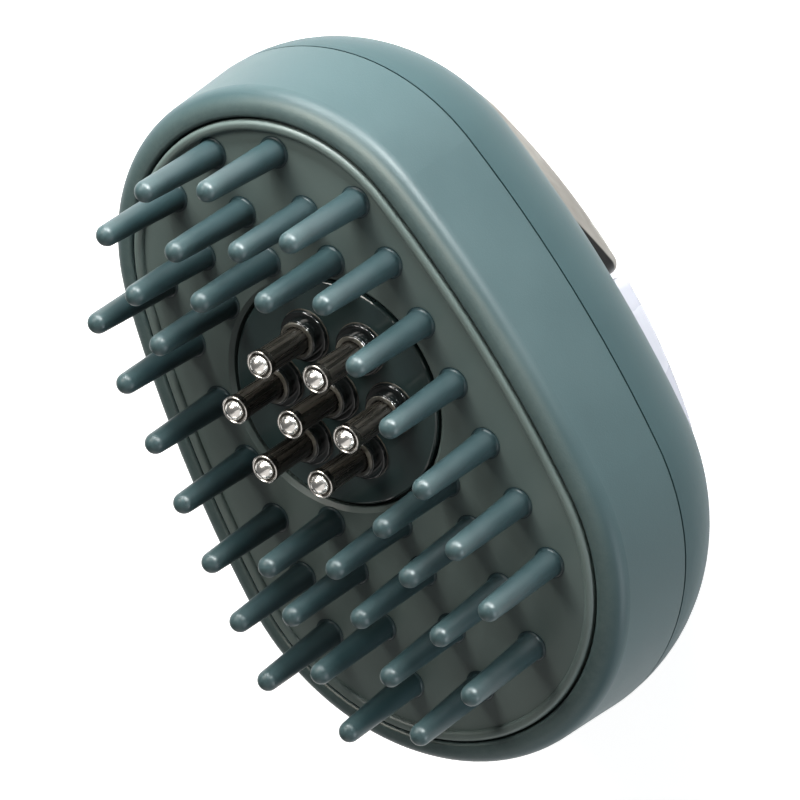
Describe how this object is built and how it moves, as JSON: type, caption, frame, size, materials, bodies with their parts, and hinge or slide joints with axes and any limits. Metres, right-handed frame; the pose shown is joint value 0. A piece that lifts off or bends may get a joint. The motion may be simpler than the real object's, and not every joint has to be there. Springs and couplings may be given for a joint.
{
  "type": "electric scalp applicator",
  "caption": "Palm-held electric scalp applicator: egg-shaped two-part housing, comb plate of blunt teeth round a lift-out head of roller-ball probes, rear press paddle and charging socket.",
  "frame": {"origin": "on the rear panel's rest face, under the middle of the body's length and width", "axes": "+X across the body, +Y towards the narrow end, +Z out of the teeth"},
  "size_m": [0.0638, 0.0958, 0.0532],
  "materials": {
    "housing_plastic": "satin teal moulded plastic with a fine grain",
    "seal_rubber": "matt black",
    "comb_plastic": "satin grey-green moulded plastic",
    "tooth_plastic": "soft satin teal",
    "frame_plastic": "plain moulded plastic",
    "tank_plastic": "smooth pale plastic",
    "head_plastic": "smoky dark gloss",
    "probe_plastic": "black gloss",
    "steel": "bright zinc",
    "polished_steel": "polished",
    "panel_plastic": "pale lavender-white gloss",
    "paddle_plastic": "silver-plated plastic",
    "circuit_board": "green board laminate",
    "cell_wrap": "silver foil wrap",
    "switch_plastic": "black moulding",
    "lead_cover": "red flexible sleeve"
  },
  "bodies": {
    "housing": {"front_shell": "housing_plastic", "rear_shell": "housing_plastic", "shell_gasket": "seal_rubber", "comb_plate": "comb_plastic", "massage_teeth": "tooth_plastic", "retainer_plate": "frame_plastic", "retainer_screws": "steel", "case_screws": "steel", "tank_cup": "tank_plastic", "tank_screws": "steel", "rear_panel": "panel_plastic", "paddle_pin": "steel", "pocket_liner": "switch_plastic", "switch_boot": "seal_rubber", "switch_body": "switch_plastic", "main_board": "circuit_board", "board_screws": "steel", "battery_cell": "cell_wrap", "battery_tray": "frame_plastic", "charging_socket": "steel", "charge_board": "circuit_board", "motor_can": "steel", "motor_end_cap": "switch_plastic", "motor_cradle": "frame_plastic", "motor_strap": "frame_plastic", "strap_screws": "steel", "battery_leads": "lead_cover", "motor_leads": "lead_cover", "charge_leads": "lead_cover"},
    "paddle": {"press_paddle": "paddle_plastic"},
    "switch_plunger": {"switch_stem": "switch_plastic"},
    "motor_rotor": {"motor_shaft": "steel", "eccentric_weight": "steel"},
    "head": {"probe_head": "head_plastic", "head_seal": "seal_rubber", "probe_collars": "probe_plastic", "probe_tubes": "probe_plastic", "ball_rims": "polished_steel", "ball_spring_1": "steel", "ball_spring_2": "steel", "ball_spring_3": "steel", "ball_spring_4": "steel", "ball_spring_5": "steel", "ball_spring_6": "steel", "ball_spring_7": "steel"},
    "roller_1": {"ball_1": "polished_steel"},
    "roller_2": {"ball_2": "polished_steel"},
    "roller_3": {"ball_3": "polished_steel"},
    "roller_4": {"ball_4": "polished_steel"},
    "roller_5": {"ball_5": "polished_steel"},
    "roller_6": {"ball_6": "polished_steel"},
    "roller_7": {"ball_7": "polished_steel"}
  },
  "joints": [
    {"name": "paddle_press", "type": "hinge", "parent": "housing", "child": "paddle", "pos_m": [0, 0.0288, 0.0072], "axis": [-1, 0, 0], "range_deg": [0, 3], "stiffness_Nm_per_rad": 1.3, "springref_deg": -1.15, "deforming": ["switch_boot"]},
    {"name": "switch_stem_press", "type": "slide", "parent": "housing", "child": "switch_plunger", "axis": [0, 0, 1], "range_m": [0, 0.00102]},
    {"name": "motor_spin", "type": "hinge", "parent": "housing", "child": "motor_rotor", "pos_m": [0.005, -0.0242, 0.0234], "axis": [1, 0, 0], "continuous": true},
    {"name": "head_lift", "type": "slide", "parent": "housing", "child": "head", "axis": [0, 0, 1], "range_m": [0, 0.04]},
    {"name": "ball_1_press", "type": "slide", "parent": "head", "child": "roller_1", "axis": [0, 0, -1], "range_m": [0, 0.0006], "stiffness_N_per_m": 120, "springref_m": -0.0008, "deforming": ["ball_spring_1"]},
    {"name": "ball_2_press", "type": "slide", "parent": "head", "child": "roller_2", "axis": [0, 0, -1], "range_m": [0, 0.0006], "stiffness_N_per_m": 120, "springref_m": -0.0008, "deforming": ["ball_spring_2"]},
    {"name": "ball_3_press", "type": "slide", "parent": "head", "child": "roller_3", "axis": [0, 0, -1], "range_m": [0, 0.0006], "stiffness_N_per_m": 120, "springref_m": -0.0008, "deforming": ["ball_spring_3"]},
    {"name": "ball_4_press", "type": "slide", "parent": "head", "child": "roller_4", "axis": [0, 0, -1], "range_m": [0, 0.0006], "stiffness_N_per_m": 120, "springref_m": -0.0008, "deforming": ["ball_spring_4"]},
    {"name": "ball_5_press", "type": "slide", "parent": "head", "child": "roller_5", "axis": [0, 0, -1], "range_m": [0, 0.0006], "stiffness_N_per_m": 120, "springref_m": -0.0008, "deforming": ["ball_spring_5"]},
    {"name": "ball_6_press", "type": "slide", "parent": "head", "child": "roller_6", "axis": [0, 0, -1], "range_m": [0, 0.0006], "stiffness_N_per_m": 120, "springref_m": -0.0008, "deforming": ["ball_spring_6"]},
    {"name": "ball_7_press", "type": "slide", "parent": "head", "child": "roller_7", "axis": [0, 0, -1], "range_m": [0, 0.0006], "stiffness_N_per_m": 120, "springref_m": -0.0008, "deforming": ["ball_spring_7"]}
  ],
  "couplings": [
    {"joint": "switch_stem_press", "follows": "paddle_press", "m_per_rad": 0.0193}
  ]
}
